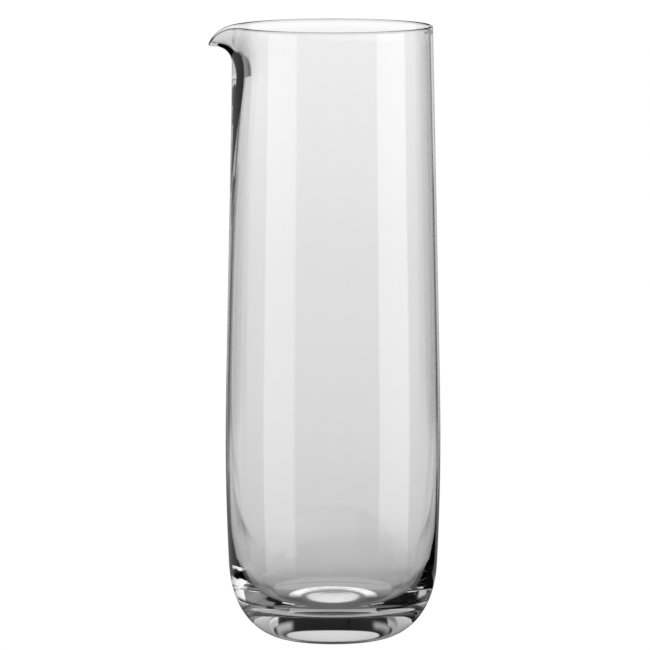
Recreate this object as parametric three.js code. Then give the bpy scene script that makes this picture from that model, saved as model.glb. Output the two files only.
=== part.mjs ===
// A tall water jug blown in clear glass, without a handle: a heavy rounded base with a wide inside corner,
// a thin, slightly barrelled wall, a fire-polished rim and a narrow pouring lip bent out of that rim.
// The jug is one continuous body. Its section is revolved once about the vertical axis, and the top of the
// wall is then bent outward and down round one direction to make the lip, with thicker glass gathered below it.
// Millimetres, +Z up, the axis of the jug on Z, the foot on z = 0, the lip toward -X.

import * as THREE from 'three';
import { mergeVertices } from 'three/addons/utils/BufferGeometryUtils.js';

// Outside of the jug
const HEIGHT = 260; // table to rim
const FOOT_RADIUS = 20; // flat, polished foot
const HEEL_HEIGHT = 32; // where the rounded heel runs into the wall
const HEEL_RADIUS = 44.2;
const HEEL_SPREAD = 0.3; // how far the heel stays low as it leaves the foot
const HEEL_FULLNESS = 0.8; // how far the heel stays upright below the wall
const BELLY_HEIGHT = 84; // widest level
const BELLY_RADIUS = 45.5;
const RIM_RADIUS = 42;
const TAPER_EASE = 0.1; // how gently the belly turns into the straight taper, as a share of the upper wall

// Thickness of the glass
const WALL = 1.4; // high on the wall
const HEEL_WALL = 3.9; // where the inside corner begins
const WALL_FADE = 22; // height over which the extra thickness above the heel dies away
const RIM_BEAD = 1.5; // fire-polished rim
const BEAD_DEPTH = 4; // height over which the wall swells into the bead
const FLOOR_THICKNESS = 15; // at the axis

// Inside of the base
const CORNER_HEIGHT = 36; // where the inside wall begins to turn into the floor
const FLOOR_RADIUS = 25;
const FLOOR_RISE = 0.2; // at the edge of the floor, which is very slightly dished
const CORNER_PULL = 0.6; // fullness of the inside corner

// Pouring lip
const LIP_DEPTH = 15.7; // wall below the rim that makes the lip
const BEND_LENGTH = 10.1; // of that, the length that is bent; the rest runs straight on to the tip
const LIP_BEND = 84; // degrees, at the middle of the lip
const LIP_SPREAD = 11; // degrees either side, to where the bend has dropped to about a third
const LIP_SHORTENING = 0.13; // share of the lip's length lost at its middle
const LEAN = 0.8; // outward lean of the wall just below the lip
const LEAN_FADE = 16;
const SWELL = 3.4; // glass that gathers on the inside below the lip, where the hot wall is drawn into it
const SWELL_SPREAD = 32; // degrees
const SWELL_FADE = 30; // height over which it dies away down the wall
const SWELL_START = 3; // below the rim
const SWELL_FULL = 24;

// Facets
const SEGMENTS = 84;
const HEEL_STEPS = 9;
const WALL_STEPS = 8;
const LIP_STEPS = 9;
const BEAD_STEPS = 4;
const CORNER_STEPS = 8;
const FLOOR_STEPS = 3;
const COLUMN_GATHER = 0.5; // 0 spreads the columns evenly, toward 1 they crowd round the lip

const HEEL_SLOPE = (2 * (BELLY_RADIUS - HEEL_RADIUS)) / (BELLY_HEIGHT - HEEL_HEIGHT);

// Radius of the outside at a height on the wall: a parabola below the belly, an eased straight taper above it
function outerRadius(z) {
  if (z < BELLY_HEIGHT) {
    const v = (BELLY_HEIGHT - z) / (BELLY_HEIGHT - HEEL_HEIGHT);
    return BELLY_RADIUS - (BELLY_RADIUS - HEEL_RADIUS) * v * v;
  }
  const u = (z - BELLY_HEIGHT) / (HEIGHT - BELLY_HEIGHT);
  const eased = (Math.hypot(u, TAPER_EASE) - TAPER_EASE) / (Math.hypot(1, TAPER_EASE) - TAPER_EASE);
  return BELLY_RADIUS - (BELLY_RADIUS - RIM_RADIUS) * eased;
}

// Thickness of the wall: thin and even high up, thicker toward the heel, with a bead at the rim
function wallThickness(z) {
  const low = (HEEL_WALL - WALL) * Math.exp(-(z - CORNER_HEIGHT) / WALL_FADE);
  const bead = (RIM_BEAD - WALL) * THREE.MathUtils.smoothstep(z, HEIGHT - BEAD_DEPTH, HEIGHT - RIM_BEAD / 2);
  return WALL + low + bead;
}

function innerRadius(z) {
  return outerRadius(z) - wallThickness(z);
}

// Section of the glass from the middle of the underside, up the outside, over the rim and down the inside
function jugSection() {
  const points = [new THREE.Vector2(0, 0)];

  const heel = new THREE.CubicBezierCurve(
    new THREE.Vector2(FOOT_RADIUS, 0),
    new THREE.Vector2(FOOT_RADIUS + HEEL_SPREAD * (HEEL_RADIUS - FOOT_RADIUS), 0),
    new THREE.Vector2(HEEL_RADIUS - HEEL_FULLNESS * HEEL_HEIGHT * HEEL_SLOPE, HEEL_HEIGHT * (1 - HEEL_FULLNESS)),
    new THREE.Vector2(HEEL_RADIUS, HEEL_HEIGHT),
  );
  points.push(...heel.getPoints(HEEL_STEPS));

  const lipFoot = HEIGHT - LIP_DEPTH;
  const beadCentre = HEIGHT - RIM_BEAD / 2;
  const levels = [];
  for (let i = 1; i <= WALL_STEPS; i += 1) {
    levels.push(THREE.MathUtils.lerp(HEEL_HEIGHT, lipFoot, i / WALL_STEPS));
  }
  for (let i = 1; i <= LIP_STEPS; i += 1) {
    levels.push(THREE.MathUtils.lerp(lipFoot, beadCentre, i / LIP_STEPS));
  }
  levels.forEach((z) => points.push(new THREE.Vector2(outerRadius(z), z)));

  const beadRadius = outerRadius(beadCentre) - RIM_BEAD / 2;
  for (let i = 1; i < BEAD_STEPS; i += 1) {
    const turn = (Math.PI * i) / BEAD_STEPS;
    points.push(
      new THREE.Vector2(beadRadius + (RIM_BEAD / 2) * Math.cos(turn), beadCentre + (RIM_BEAD / 2) * Math.sin(turn)),
    );
  }

  const insideLevels = levels.filter((z) => z > CORNER_HEIGHT + 2).reverse();
  insideLevels.push(CORNER_HEIGHT);
  insideLevels.forEach((z) => points.push(new THREE.Vector2(innerRadius(z), z)));

  const wallFoot = new THREE.Vector2(innerRadius(CORNER_HEIGHT), CORNER_HEIGHT);
  const lean = (innerRadius(CORNER_HEIGHT + 0.5) - innerRadius(CORNER_HEIGHT)) / 0.5;
  const floorEdge = new THREE.Vector2(FLOOR_RADIUS, FLOOR_THICKNESS + FLOOR_RISE);
  const floorSlope = (2 * FLOOR_RISE) / FLOOR_RADIUS;
  const drop = CORNER_PULL * (CORNER_HEIGHT - floorEdge.y);
  const reach = CORNER_PULL * (wallFoot.x - FLOOR_RADIUS);
  const corner = new THREE.CubicBezierCurve(
    wallFoot,
    new THREE.Vector2(wallFoot.x - lean * drop, wallFoot.y - drop),
    new THREE.Vector2(floorEdge.x + reach, floorEdge.y + floorSlope * reach),
    floorEdge,
  );
  points.push(...corner.getPoints(CORNER_STEPS).slice(1));

  for (let i = FLOOR_STEPS - 1; i >= 0; i -= 1) {
    const r = (FLOOR_RADIUS * i) / FLOOR_STEPS;
    points.push(new THREE.Vector2(r, FLOOR_THICKNESS + FLOOR_RISE * (r / FLOOR_RADIUS) ** 2));
  }
  return points;
}

// Moves a point of the revolved wall (radius r, height z, angle from the lip in degrees) to its place on the jug:
// the wall leans out and swells on the inside below the lip, and the top of the wall follows an arc that turns
// outward and then runs straight to the tip, carrying the thickness of the glass round with it
function pullLip(r, z, angle) {
  const middle = Math.exp(-((angle / LIP_SPREAD) ** 2));
  const below = HEIGHT - z;
  const face = outerRadius(z) + LEAN * middle * Math.exp(-below / LEAN_FADE);
  const gathered = Math.exp(-((angle / SWELL_SPREAD) ** 2) - below / SWELL_FADE);
  const swell = SWELL * gathered * THREE.MathUtils.smoothstep(below, SWELL_START, SWELL_FULL);
  const inset = (r - outerRadius(z)) * (1 + swell / wallThickness(z));
  const along = z - (HEIGHT - LIP_DEPTH);
  if (along <= 0) {
    return { r: face + inset, z };
  }
  const length = along * (1 - LIP_SHORTENING * middle);
  const arc = Math.min(length, BEND_LENGTH);
  const straight = length - arc;
  const turn = (THREE.MathUtils.degToRad(LIP_BEND) * middle * arc) / BEND_LENGTH;
  const chord = turn > 1e-6 ? (arc * Math.sin(turn / 2)) / (turn / 2) : arc;
  return {
    r: face + chord * Math.sin(turn / 2) + straight * Math.sin(turn) + inset * Math.cos(turn),
    z: HEIGHT - LIP_DEPTH + chord * Math.cos(turn / 2) + straight * Math.cos(turn) - inset * Math.sin(turn),
  };
}

function jugGeometry() {
  const lathe = new THREE.LatheGeometry(jugSection(), SEGMENTS);
  lathe.rotateX(Math.PI / 2);
  lathe.deleteAttribute('normal');
  lathe.deleteAttribute('uv');
  const geometry = mergeVertices(lathe, 1e-3);

  const position = geometry.getAttribute('position');
  for (let i = 0; i < position.count; i += 1) {
    const x = position.getX(i);
    const y = position.getY(i);
    const r = Math.hypot(x, y);
    const even = Math.atan2(y, -x);
    const angle = even - COLUMN_GATHER * Math.sin(even);
    const onWall = r > FLOOR_RADIUS;
    const place = onWall ? pullLip(r, position.getZ(i), THREE.MathUtils.radToDeg(angle)) : { r, z: position.getZ(i) };
    position.setXYZ(i, -place.r * Math.cos(angle), place.r * Math.sin(angle), place.z);
  }

  // The strips that meet on the axis close to a point there
  const index = Array.from(geometry.getIndex().array);
  const kept = [];
  for (let i = 0; i < index.length; i += 3) {
    const [a, b, c] = index.slice(i, i + 3);
    if (a !== b && b !== c && c !== a) {
      kept.push(a, b, c);
    }
  }
  geometry.setIndex(kept);
  geometry.computeVertexNormals();
  return geometry;
}

const clearGlass = new THREE.MeshStandardMaterial({
  name: 'clear_blown_glass',
  color: 0xeef1f1,
  roughness: 0.03,
  metalness: 0,
  transparent: true,
  opacity: 0.35,
});

const jug = new THREE.Group();
jug.name = 'glass_jug';

const jugBody = new THREE.Mesh(jugGeometry(), clearGlass);
jugBody.name = 'jug_body';
jug.add(jugBody);

export default jug;
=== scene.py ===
"""A tall handleless jug in clear blown glass, empty, on a white studio table.

The glass is one closed surface of revolution whose rim is bent out into a pouring lip. Sizes are in
metres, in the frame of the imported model: +Z up, the axis of the jug on Z, the foot on z = 0, the lip
toward -X.
"""
import math

import bpy
import numpy as np
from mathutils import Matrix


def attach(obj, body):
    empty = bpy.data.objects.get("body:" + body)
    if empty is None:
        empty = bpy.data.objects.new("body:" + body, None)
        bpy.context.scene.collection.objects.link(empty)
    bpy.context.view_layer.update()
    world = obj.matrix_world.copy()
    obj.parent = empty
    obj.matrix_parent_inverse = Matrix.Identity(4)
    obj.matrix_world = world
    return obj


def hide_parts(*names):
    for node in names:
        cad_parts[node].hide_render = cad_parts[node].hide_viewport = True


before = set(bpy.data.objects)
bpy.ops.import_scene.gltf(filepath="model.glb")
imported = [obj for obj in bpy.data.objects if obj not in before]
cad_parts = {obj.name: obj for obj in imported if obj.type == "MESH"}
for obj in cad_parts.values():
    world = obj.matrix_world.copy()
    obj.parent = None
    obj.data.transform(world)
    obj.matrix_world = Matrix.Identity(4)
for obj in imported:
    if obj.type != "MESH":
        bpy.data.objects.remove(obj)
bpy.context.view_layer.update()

MM = 0.001

# Outside of the jug
HEIGHT = 260 * MM
FOOT_RADIUS = 20 * MM
FOOT_HOLLOW = 0.6 * MM
HEEL_HEIGHT = 32 * MM
HEEL_RADIUS = 44.2 * MM
HEEL_SPREAD = 0.3
HEEL_FULLNESS = 0.8
BELLY_HEIGHT = 84 * MM
BELLY_RADIUS = 45.5 * MM
RIM_RADIUS = 42 * MM
TAPER_EASE = 0.1

# Thickness of the glass
WALL = 1.4 * MM
HEEL_WALL = 3.9 * MM
WALL_FADE = 22 * MM
RIM_BEAD = 1.5 * MM
BEAD_DEPTH = 4 * MM
FLOOR_THICKNESS = 15 * MM

# Inside of the base
CORNER_HEIGHT = 36 * MM
FLOOR_RADIUS = 25 * MM
FLOOR_RISE = 0.2 * MM
CORNER_PULL = 0.6

# Pouring lip
LIP_DEPTH = 15.7 * MM
BEND_LENGTH = 10.1 * MM
LIP_BEND = math.radians(84)
LIP_SPREAD = math.radians(11)
LIP_SHORTENING = 0.13
LEAN = 0.8 * MM
LEAN_FADE = 16 * MM
SWELL = 3.4 * MM
SWELL_SPREAD = math.radians(32)
SWELL_FADE = 30 * MM
SWELL_START = 3 * MM
SWELL_FULL = 24 * MM

# Rows and columns of the glass surface
COLUMNS = 320
COLUMN_GATHER = 0.5
FOOT_ROWS = 24
HEEL_ROWS = 40
WALL_ROWS = 56
LIP_ROWS = 30
BEAD_ROWS = 10
CORNER_ROWS = 36
FLOOR_ROWS = 30

# Run over which the slope at the foot of the inside wall is measured
SLOPE_RUN = 0.5 * MM

# Finish of the glass: waves left in the wall by turning it hot, marks of the polishing wheel on the foot
GLASS_COLOUR = "FBFBFB"
GLASS_IOR = 1.52
GLASS_ROUGHNESS = (0.002, 0.012)
WAVES_PER_METRE = 45
WAVE_DRAWN_OUT = 0.25
WAVE_STRENGTH = 0.3
WAVE_HEIGHT = 0.03 * MM
MARKS_PER_METRE = 500
MARK_HEIGHT = 0.06 * MM
MARKED_UP_TO = 0.65 * MM
MARKED_SOFT = 0.05 * MM

# Table top: half its width in metres, how far it lies below the foot, and how it looks to the eye
TABLE_HALF = 100
TABLE_DROP = 0.05 * MM
TABLE_TO_EYE = 0.985
TABLE_GREY = "808080"

# Painted light and shade that the table shows to the glass, as emission by distance from the axis in
# millimetres, behind the jug and in front of it: a painted pool of light under the clear foot, a painted
# shadow round the heel, and painted light that grows with distance. The second fades into the first as
# depth behind the axis grows, over the given shares of the distance.
PAINTED_GLOW_BEHIND = (
    (6, 1.2), (11, 1.2), (12.6, 0.4), (14.2, 0.45), (15.2, 1.8), (18, 1.8), (19.8, 1.5), (20.6, 0.4),
    (24, 0.42), (34, 0.46), (60, 0.45), (90, 0.53), (200, 0.67), (600, 0.76), (1500, 0.83), (5000, 1.02),
)
PAINTED_GLOW_IN_FRONT = (
    (6, 1.2), (10.5, 1.1), (12.5, 0.25), (17, 0.12), (24, 0.06), (34, 0.1), (60, 0.3), (100, 0.5),
    (200, 0.68), (600, 0.8), (1500, 0.9), (5000, 1.0),
)
GLOW_CHANGE = (-0.25, 0.5)

# Painted shade on the table, as though cast by dark flags behind the jug, and, last, a painted shadow of
# its own heel: range in degrees to the right of straight behind, softness of its sides in degrees, near
# and far edge in millimetres, light left in it. The near and far edges are soft over a share of the near
# distance.
SHADE_EDGE = 0.25
PAINTED_TABLE_SHADE = (
    ((-60, -24), 1.5, (600, 90000), 0.2),
    ((24, 60), 1.5, (600, 90000), 0.2),
    ((-28, -16), 1.5, (650, 3200), 0.12),
    ((20, 28), 1.5, (600, 2300), 0.4),
    ((-33, -15), 1.5, (380, 700), 0.3),
    ((20, 33), 1.5, (380, 600), 0.4),
    ((-33, -20), 1.5, (160, 380), 0.3),
    ((24, 33), 1.5, (160, 380), 0.2),
    ((-110, -58), 10, (30, 72), 0.25),
    ((56, 110), 8, (30, 72), 0.35),
)

# Studio lights as strength, azimuth range, elevation range and softness of the edges in degrees: the azimuth
# of the first ones is taken from the front and of the others from straight behind, positive to the right
STUDIO_DARK = 0.004
STUDIO_FRONT = (
    (2.0, (-80, -42), (-14, -1), 2),
    (2.5, (51, 90), (-12, -1), 2),
    (1.3, (28, 92), (0, 13), 2),
    (1.25, (49, 70), (13, 28), 2),
    (0.9, (0, 28), (0, 10), 2),
    (0.6, (-30, 0), (0, 10), 2),
    (0.35, (-30, 28), (10, 22), 2),
)
STUDIO_BACKDROP = (
    (0.78, (-27, 27), (3, 8.6), 0.3),
    (0.4, (-27, 27), (-2, 3), 0.3),
    (0.6, (-98, -82), (-2, 9), 2),
    (0.3, (27, 40), (0, 6), 2),
    (0.5, (20, 32), (10, 15), 2),
    (0.4, (-32, -20), (11, 15), 2),
    (0.65, (30, 41), (15, 20), 1),
    (0.5, (-41, -30), (15, 20), 1),
    (1.0, (31, 42), (20, 25), 1),
    (0.25, (-42, -30), (20, 25), 1),
    (0.25, (48, 88), (0, 12), 2),
    (0.12, (-180, 180), (26, 100), 3),
    (0.12, (-180, 180), (50, 100), 5),
    (0.25, (-65, 27), (-12, -1), 1),
)

# Turns that light may take inside the thick glass before it is given up
GLASS_BOUNCES = 8

# Camera, from the front with the lip to the left
CAMERA_DISTANCE = 2718 * MM
CAMERA_HEIGHT = 455 * MM
CAMERA_PITCH = math.radians(6.753)
CAMERA_SIDESTEP = -3.4 * MM
SENSOR_WIDTH = 36
LENS = 358.6


def linear_colour(code):
    """Turn an sRGB hex code into the linear colour, with alpha, that shader sockets take."""
    channels = np.array([int(code[i:i + 2], 16) for i in (0, 2, 4)]) / 255
    linear = np.where(channels <= 0.04045, channels / 12.92, ((channels + 0.055) / 1.055) ** 2.4)
    return (*linear.tolist(), 1.0)


def add_node(tree, kind, inputs=None, **settings):
    """Add a node, apply its settings, and fill its inputs with constants or links from other nodes."""
    node = tree.nodes.new(kind)
    for name, value in settings.items():
        setattr(node, name, value)
    for key, value in (inputs or {}).items():
        if isinstance(value, bpy.types.NodeSocket):
            tree.links.new(value, node.inputs[key])
        else:
            node.inputs[key].default_value = value
    return node


def smoothstep(low, high, x):
    """0 up to low and 1 from high on, with a cubic between them that is level at both ends."""
    t = np.clip((x - low) / (high - low), 0, 1)
    return t * t * (3 - 2 * t)


def outer_radius(z):
    """Outside of the wall: a parabola up to the belly, then a hyperbola that soon runs straight."""
    v = (BELLY_HEIGHT - z) / (BELLY_HEIGHT - HEEL_HEIGHT)
    u = np.maximum(z - BELLY_HEIGHT, 0) / (HEIGHT - BELLY_HEIGHT)
    eased = (np.hypot(u, TAPER_EASE) - TAPER_EASE) / (math.hypot(1, TAPER_EASE) - TAPER_EASE)
    below = BELLY_RADIUS - (BELLY_RADIUS - HEEL_RADIUS) * v * v
    above = BELLY_RADIUS - (BELLY_RADIUS - RIM_RADIUS) * eased
    return np.where(z < BELLY_HEIGHT, below, above)


def wall_thickness(z):
    """Thickness of the wall: even high up, exponentially more toward the heel, a little more in the rim."""
    low = (HEEL_WALL - WALL) * np.exp(-(z - CORNER_HEIGHT) / WALL_FADE)
    bead = (RIM_BEAD - WALL) * smoothstep(HEIGHT - BEAD_DEPTH, HEIGHT - RIM_BEAD / 2, z)
    return WALL + low + bead


def inner_radius(z):
    """Inside of the wall."""
    return outer_radius(z) - wall_thickness(z)


def cubic(start, pull_out, pull_in, end, rows):
    """Points of a cubic Bezier curve, with its first point left out."""
    t = np.linspace(0, 1, rows + 1)[1:, None]
    corners = [np.array(corner, dtype=float) for corner in (start, pull_out, pull_in, end)]
    weights = ((1 - t) ** 3, 3 * t * (1 - t) ** 2, 3 * t * t * (1 - t), t ** 3)
    return sum(weight * corner for weight, corner in zip(weights, corners))


def jug_section():
    """Section of the glass as radius and height: underside, heel, wall, round rim, inside wall and floor.

    The underside is hollowed by a smooth step, the heel and the inside corner are cubic Bezier curves that
    leave the neighbouring parts along their tangents, the rim is a half circle and the floor a parabola.
    """
    foot_radii = np.linspace(0, FOOT_RADIUS, FOOT_ROWS + 1)
    foot = np.stack([foot_radii, FOOT_HOLLOW * (1 - smoothstep(0, FOOT_RADIUS, foot_radii))], axis=1)

    heel_slope = 2 * (BELLY_RADIUS - HEEL_RADIUS) / (BELLY_HEIGHT - HEEL_HEIGHT)
    heel = cubic(
        (FOOT_RADIUS, 0),
        (FOOT_RADIUS + HEEL_SPREAD * (HEEL_RADIUS - FOOT_RADIUS), 0),
        (HEEL_RADIUS - HEEL_FULLNESS * HEEL_HEIGHT * heel_slope, HEEL_HEIGHT * (1 - HEEL_FULLNESS)),
        (HEEL_RADIUS, HEEL_HEIGHT),
        HEEL_ROWS,
    )

    lip_foot = HEIGHT - LIP_DEPTH
    bead_middle = HEIGHT - RIM_BEAD / 2
    outside_levels = np.concatenate([
        np.linspace(HEEL_HEIGHT, lip_foot, WALL_ROWS + 1)[1:],
        np.linspace(lip_foot, bead_middle, LIP_ROWS + 1)[1:],
    ])
    outside = np.stack([outer_radius(outside_levels), outside_levels], axis=1)

    turn = np.linspace(0, math.pi, BEAD_ROWS + 1)[1:-1]
    bead_radius = outer_radius(np.array(bead_middle)) - RIM_BEAD / 2
    bead = np.stack([
        bead_radius + RIM_BEAD / 2 * np.cos(turn),
        bead_middle + RIM_BEAD / 2 * np.sin(turn),
    ], axis=1)

    inside_levels = np.concatenate([
        np.linspace(bead_middle, lip_foot, LIP_ROWS + 1)[:-1],
        np.linspace(lip_foot, CORNER_HEIGHT, WALL_ROWS + 1),
    ])
    inside = np.stack([inner_radius(inside_levels), inside_levels], axis=1)

    wall_foot = inside[-1]
    lean = (inner_radius(np.array(CORNER_HEIGHT + SLOPE_RUN)) - wall_foot[0]) / SLOPE_RUN
    floor_edge = np.array([FLOOR_RADIUS, FLOOR_THICKNESS + FLOOR_RISE])
    floor_slope = 2 * FLOOR_RISE / FLOOR_RADIUS
    drop = CORNER_PULL * (CORNER_HEIGHT - floor_edge[1])
    reach = CORNER_PULL * (wall_foot[0] - FLOOR_RADIUS)
    corner = cubic(
        wall_foot,
        wall_foot - drop * np.array([lean, 1]),
        floor_edge + reach * np.array([1, floor_slope]),
        floor_edge,
        CORNER_ROWS,
    )

    floor_radii = np.linspace(FLOOR_RADIUS, 0, FLOOR_ROWS + 1)[1:]
    floor = np.stack([floor_radii, FLOOR_THICKNESS + FLOOR_RISE * (floor_radii / FLOOR_RADIUS) ** 2], axis=1)
    return np.concatenate([foot, heel, outside, bead, inside, corner, floor])


def pull_lip(radius, height, angle):
    """Bend the rim outward and down round angle 0.

    The wall above the lip's foot follows an arc, and then a straight line to the tip. The angle of the arc
    falls off as a bell curve round the rim, and each point keeps its distance from the outside face. Below
    the lip the wall leans out, and glass gathered there makes it thicker on the inside.
    """
    middle = np.exp(-((angle / LIP_SPREAD) ** 2))
    below = HEIGHT - height
    face = outer_radius(height) + LEAN * middle * np.exp(-below / LEAN_FADE)
    gathered = np.exp(-((angle / SWELL_SPREAD) ** 2) - below / SWELL_FADE)
    swell = SWELL * gathered * smoothstep(SWELL_START, SWELL_FULL, below)
    inset = (radius - outer_radius(height)) * (1 + swell / wall_thickness(height))
    along = np.maximum(height - (HEIGHT - LIP_DEPTH), 0)
    length = along * (1 - LIP_SHORTENING * middle)
    arc = np.minimum(length, BEND_LENGTH)
    straight = length - arc
    turn = LIP_BEND * middle * arc / BEND_LENGTH
    chord = arc * np.sinc(turn / (2 * math.pi))
    bent_radius = face + chord * np.sin(turn / 2) + straight * np.sin(turn) + inset * np.cos(turn)
    rise = chord * np.cos(turn / 2) + straight * np.cos(turn) - inset * np.sin(turn)
    bent_height = HEIGHT - LIP_DEPTH + rise
    bent = along > 0
    return np.where(bent, bent_radius, face + inset), np.where(bent, bent_height, height)


def jug_surface():
    """Vertices and faces of the jug: the section swept round Z, with one point where it meets the axis."""
    section = jug_section()
    ring = section[1:-1]
    even = np.linspace(-math.pi, math.pi, COLUMNS, endpoint=False)
    angle = even - COLUMN_GATHER * np.sin(even)
    radius = np.repeat(ring[:, :1], COLUMNS, axis=1)
    height = np.repeat(ring[:, 1:], COLUMNS, axis=1)
    pulled_radius, pulled_height = pull_lip(radius, height, angle[None, :])
    wall = radius > FLOOR_RADIUS
    radius = np.where(wall, pulled_radius, radius)
    height = np.where(wall, pulled_height, height)
    grid = np.stack([-radius * np.cos(angle), -radius * np.sin(angle), height], axis=-1).reshape(-1, 3)
    poles = np.array([[0, 0, section[0, 1]], [0, 0, section[-1, 1]]])
    vertices = np.concatenate([grid, poles])

    rows = len(ring)
    row = np.arange(rows - 1)[:, None] * COLUMNS
    column = np.arange(COLUMNS)[None, :]
    beside = (column + 1) % COLUMNS
    quads = np.stack([row + column, row + beside, row + COLUMNS + beside, row + COLUMNS + column], axis=-1)
    last = (rows - 1) * COLUMNS
    under = np.stack([0 * column + rows * COLUMNS, beside, column], axis=-1)
    floor = np.stack([0 * column + rows * COLUMNS + 1, last + column, last + beside], axis=-1)
    faces = quads.reshape(-1, 4).tolist() + under.reshape(-1, 3).tolist() + floor.reshape(-1, 3).tolist()
    return vertices, faces


def soft_window(tree, value, low, high, soft):
    """1 between low and high and 0 outside, with a smooth step twice as wide as soft at each end."""
    rise = add_node(tree, "ShaderNodeMapRange", {
        "Value": value, "From Min": low - soft, "From Max": low + soft,
    }, interpolation_type="SMOOTHSTEP")
    fall = add_node(tree, "ShaderNodeMapRange", {
        "Value": value, "From Min": high + soft, "From Max": high - soft,
    }, interpolation_type="SMOOTHSTEP")
    both = add_node(tree, "ShaderNodeMath", {0: rise.outputs[0], 1: fall.outputs[0]}, operation="MULTIPLY")
    return both.outputs[0]


def clear_glass():
    """Clear blown soda-lime glass, fire-polished: sharp reflections, colourless edges, faint waves."""
    material = bpy.data.materials.new("clear_blown_glass")
    material.use_nodes = True
    tree = material.node_tree
    tree.nodes.clear()
    place = add_node(tree, "ShaderNodeTexCoord")

    # Long waves, about 22 mm apart round the wall and four times that up it
    drawn_out = add_node(tree, "ShaderNodeMapping", {
        "Vector": place.outputs["Object"], "Scale": (1, 1, WAVE_DRAWN_OUT),
    })
    waves = add_node(tree, "ShaderNodeTexNoise", {
        "Vector": drawn_out.outputs["Vector"], "Scale": WAVES_PER_METRE, "Detail": 1, "Roughness": 0.4,
    })
    relief = add_node(tree, "ShaderNodeBump", {
        "Height": waves.outputs["Fac"], "Strength": WAVE_STRENGTH, "Distance": WAVE_HEIGHT,
    })

    # Fine marks of the polishing wheel on the foot, about 2 mm apart
    level = add_node(tree, "ShaderNodeSeparateXYZ", {0: place.outputs["Object"]}).outputs[2]
    on_foot = soft_window(tree, level, -HEIGHT, MARKED_UP_TO, MARKED_SOFT)
    marks = add_node(tree, "ShaderNodeTexNoise", {
        "Vector": place.outputs["Object"], "Scale": MARKS_PER_METRE, "Detail": 2, "Roughness": 0.6,
    })
    marked = add_node(tree, "ShaderNodeBump", {
        "Height": marks.outputs["Fac"], "Strength": on_foot, "Distance": MARK_HEIGHT,
        "Normal": relief.outputs["Normal"],
    })
    smoothest, roughest = GLASS_ROUGHNESS
    gloss = add_node(tree, "ShaderNodeMapRange", {
        "Value": waves.outputs["Fac"], "To Min": smoothest, "To Max": roughest,
    })
    surface = add_node(tree, "ShaderNodeBsdfPrincipled", {
        "Base Color": linear_colour(GLASS_COLOUR),
        "Roughness": gloss.outputs["Result"],
        "IOR": GLASS_IOR,
        "Transmission Weight": 1,
        "Normal": marked.outputs["Normal"],
    })
    add_node(tree, "ShaderNodeOutputMaterial", {"Surface": surface.outputs["BSDF"]})
    return material


def make_jug():
    """The glass, which rides on the root and is shown instead of the solid."""
    vertices, faces = jug_surface()
    mesh = bpy.data.meshes.new("jug_glass")
    mesh.from_pydata(vertices.tolist(), [], faces)
    mesh.polygons.foreach_set("use_smooth", np.ones(len(mesh.polygons), dtype=bool))
    mesh.materials.append(clear_glass())
    mesh.update()
    jug = bpy.data.objects.new("jug_glass", mesh)
    bpy.context.scene.collection.objects.link(jug)
    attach(jug, "root")
    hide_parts("jug_body")


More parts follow.
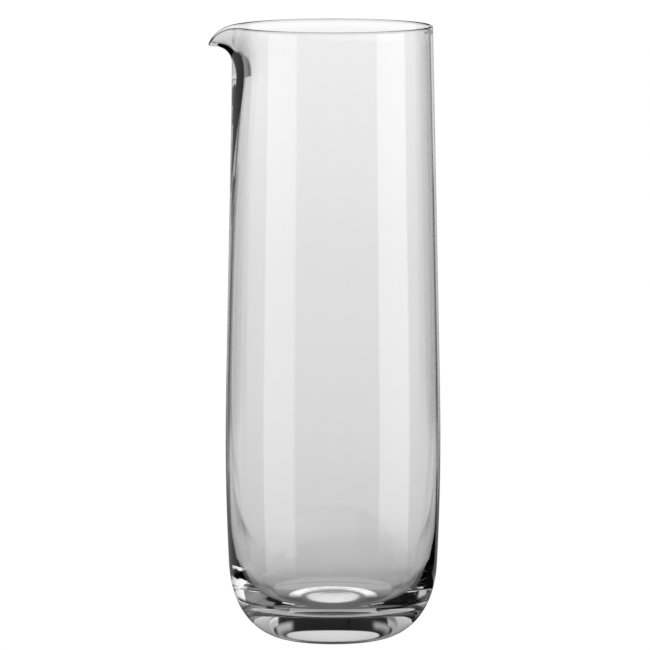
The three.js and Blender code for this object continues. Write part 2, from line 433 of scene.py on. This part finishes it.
def white_table():
    """A matt white table top.

    The eye sees it as plain white with a faint shadow. Through the glass its emission shows painted
    light and shade of what the jug stands on: a painted pool of light under the clear foot, a painted
    shadow of the heel, painted light that grows with distance, and painted shade as though of dark flags
    behind the jug, which draws the edges of the glass; no flags stand in the scene. Between the named
    levels the painted light runs straight over the logarithm of the distance.
    """
    material = bpy.data.materials.new("white_table_top")
    material.use_nodes = True
    tree = material.node_tree
    tree.nodes.clear()
    place = add_node(tree, "ShaderNodeTexCoord").outputs["Object"]
    part = add_node(tree, "ShaderNodeSeparateXYZ", {0: place}).outputs
    distance = add_node(tree, "ShaderNodeVectorMath", {0: place}, operation="LENGTH").outputs["Value"]

    # Painted light and shade by distance: a pool of light under the foot, a shadow round the heel
    decades = add_node(tree, "ShaderNodeMath", {0: distance, 1: 10}, operation="LOGARITHM")
    glow = []
    for levels in (PAINTED_GLOW_IN_FRONT, PAINTED_GLOW_BEHIND):
        nearest, farthest = (math.log10(levels[i][0] * MM) for i in (0, -1))
        reach = add_node(tree, "ShaderNodeMapRange", {
            "Value": decades.outputs[0], "From Min": nearest, "From Max": farthest,
        })
        ramp = add_node(tree, "ShaderNodeValToRGB", {"Fac": reach.outputs[0]})
        stops = ramp.color_ramp.elements
        while len(stops) < len(levels):
            stops.new(1)
        for stop, (radius, light) in zip(stops, levels):
            stop.position = (math.log10(radius * MM) - nearest) / (farthest - nearest)
            stop.color = (light, light, light, 1)
        glow.append(ramp.outputs["Color"])
    depth = add_node(tree, "ShaderNodeMath", {0: part[1], 1: distance}, operation="DIVIDE")
    all_front, all_behind = GLOW_CHANGE
    behind = add_node(tree, "ShaderNodeMapRange", {
        "Value": depth.outputs[0], "From Min": all_front, "From Max": all_behind,
    }, interpolation_type="SMOOTHSTEP")
    painted_light = add_node(tree, "ShaderNodeMix", {
        "Factor": behind.outputs[0], "A": glow[0], "B": glow[1],
    }, data_type="FLOAT").outputs["Result"]

    # Painted shade as though of dark flags behind the jug, and a painted shadow of the heel
    angle = add_node(tree, "ShaderNodeMath", {0: part[0], 1: part[1]}, operation="ARCTAN2")
    degrees = add_node(tree, "ShaderNodeMath", {0: angle.outputs[0]}, operation="DEGREES")
    for (start, end), soft, (near, far), light in PAINTED_TABLE_SHADE:
        across = soft_window(tree, degrees.outputs[0], start, end, soft)
        along = soft_window(tree, distance, near * MM, far * MM, near * MM * SHADE_EDGE)
        both = add_node(tree, "ShaderNodeMath", {0: across, 1: along}, operation="MULTIPLY")
        shade = add_node(tree, "ShaderNodeMapRange", {
            "Value": both.outputs[0], "To Min": 1, "To Max": light,
        })
        painted_light = add_node(tree, "ShaderNodeMath", {
            0: painted_light, 1: shade.outputs[0],
        }, operation="MULTIPLY").outputs[0]

    # Painted light and shade, seen only through the glass; the eye sees white over a matt grey that takes
    # the real shadow
    paper = linear_colour("FFFFFF")
    painted_through_glass = add_node(tree, "ShaderNodeEmission", {"Color": paper, "Strength": painted_light})
    white = add_node(tree, "ShaderNodeEmission", {"Color": paper, "Strength": TABLE_TO_EYE})
    matt = add_node(tree, "ShaderNodeBsdfDiffuse", {"Color": linear_colour(TABLE_GREY)})
    to_eye = add_node(tree, "ShaderNodeAddShader", {0: white.outputs[0], 1: matt.outputs[0]})
    eye = add_node(tree, "ShaderNodeLightPath").outputs["Is Camera Ray"]
    seen = add_node(tree, "ShaderNodeMixShader", {
        0: eye, 1: painted_through_glass.outputs[0], 2: to_eye.outputs[0],
    })
    add_node(tree, "ShaderNodeOutputMaterial", {"Surface": seen.outputs[0]})
    return material


def make_table():
    """A flat square a hair below the foot, wide enough to reach the horizon."""
    signs = ((-1, -1), (1, -1), (1, 1), (-1, 1))
    corners = [(x * TABLE_HALF, y * TABLE_HALF, 0) for x, y in signs]
    mesh = bpy.data.meshes.new("table_top")
    mesh.from_pydata(corners, [], [(0, 1, 2, 3)])
    mesh.materials.append(white_table())
    table = bpy.data.objects.new("table_top", mesh)
    table.location.z = -TABLE_DROP
    table.visible_glossy = False
    bpy.context.scene.collection.objects.link(table)


def make_studio():
    """White to the camera; what the glass bends and mirrors is lit panels on black.

    Each light is a soft-edged window of directions, between two azimuths and two elevations. Azimuth 0 looks
    along -Y for the front lights and along +Y for the backdrop.
    """
    world = bpy.data.worlds.new("studio")
    bpy.context.scene.world = world
    world.use_nodes = True
    tree = world.node_tree
    tree.nodes.clear()
    direction = add_node(tree, "ShaderNodeTexCoord").outputs["Generated"]
    part = add_node(tree, "ShaderNodeSeparateXYZ", {0: direction}).outputs
    climb = add_node(tree, "ShaderNodeMath", {0: part[2]}, operation="ARCSINE")
    elevation = add_node(tree, "ShaderNodeMath", {0: climb.outputs[0]}, operation="DEGREES").outputs[0]

    light = STUDIO_DARK
    for lights, ahead in ((STUDIO_FRONT, -1), (STUDIO_BACKDROP, 1)):
        depth = add_node(tree, "ShaderNodeMath", {0: part[1], 1: ahead}, operation="MULTIPLY")
        turn = add_node(tree, "ShaderNodeMath", {0: part[0], 1: depth.outputs[0]}, operation="ARCTAN2")
        azimuth = add_node(tree, "ShaderNodeMath", {0: turn.outputs[0]}, operation="DEGREES").outputs[0]
        for strength, (start, end), (low, high), soft in lights:
            across = soft_window(tree, azimuth, start, end, soft)
            upright = soft_window(tree, elevation, low, high, soft)
            panel = add_node(tree, "ShaderNodeMath", {0: across, 1: upright}, operation="MULTIPLY")
            light = add_node(tree, "ShaderNodeMath", {
                0: panel.outputs[0], 1: strength, 2: light,
            }, operation="MULTIPLY_ADD").outputs[0]

    paper = linear_colour("FFFFFF")
    lit = add_node(tree, "ShaderNodeBackground", {"Color": paper, "Strength": light})
    white = add_node(tree, "ShaderNodeBackground", {"Color": paper, "Strength": 1})
    eye = add_node(tree, "ShaderNodeLightPath").outputs["Is Camera Ray"]
    seen = add_node(tree, "ShaderNodeMixShader", {0: eye, 1: lit.outputs[0], 2: white.outputs[0]})
    add_node(tree, "ShaderNodeOutputWorld", {"Surface": seen.outputs[0]})


def make_camera():
    """A long lens from the front, a little above the rim and tilted down."""
    data = bpy.data.cameras.new("camera")
    data.sensor_width = SENSOR_WIDTH
    data.lens = LENS
    camera = bpy.data.objects.new("camera", data)
    camera.location = (CAMERA_SIDESTEP, -CAMERA_DISTANCE, CAMERA_HEIGHT)
    camera.rotation_euler = (math.pi / 2 - CAMERA_PITCH, 0, 0)
    bpy.context.scene.collection.objects.link(camera)
    bpy.context.scene.camera = camera


make_camera()
make_jug()
make_table()
make_studio()
bpy.context.scene.view_settings.view_transform = "Standard"
bpy.context.scene.cycles.max_bounces = 4 * GLASS_BOUNCES
bpy.context.scene.cycles.glossy_bounces = GLASS_BOUNCES
bpy.context.scene.cycles.transmission_bounces = 2 * GLASS_BOUNCES
